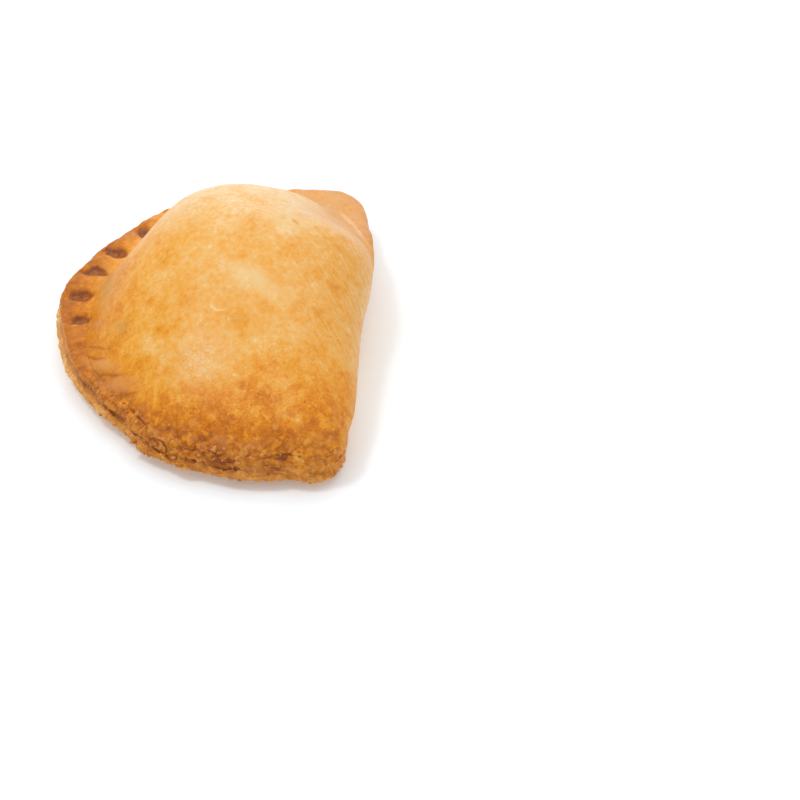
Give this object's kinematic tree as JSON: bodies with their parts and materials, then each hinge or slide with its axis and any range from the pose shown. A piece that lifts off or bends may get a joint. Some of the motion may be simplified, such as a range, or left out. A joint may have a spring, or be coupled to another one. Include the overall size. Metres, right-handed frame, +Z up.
{
  "type": "baked empanadilla",
  "caption": "Half-moon baked empanadilla: one sheet of golden dough folded over a domed filling, with a rounded fold, a pressed and dented rim and a flat base.",
  "frame": {"origin": "middle of the flat base, under the middle of the box", "axes": "+Z up; +X along the straight fold towards the near end of the picture; -Y from the fold towards the middle of the pressed rim"},
  "size_m": [0.1128, 0.078, 0.0336],
  "materials": {
    "baked_crust": "egg-washed dough baked golden, browner at the pressed rim and the near end, satin with a thin glaze"
  },
  "bodies": {
    "root": {"empanadilla": "baked_crust"}
  },
  "joints": []
}
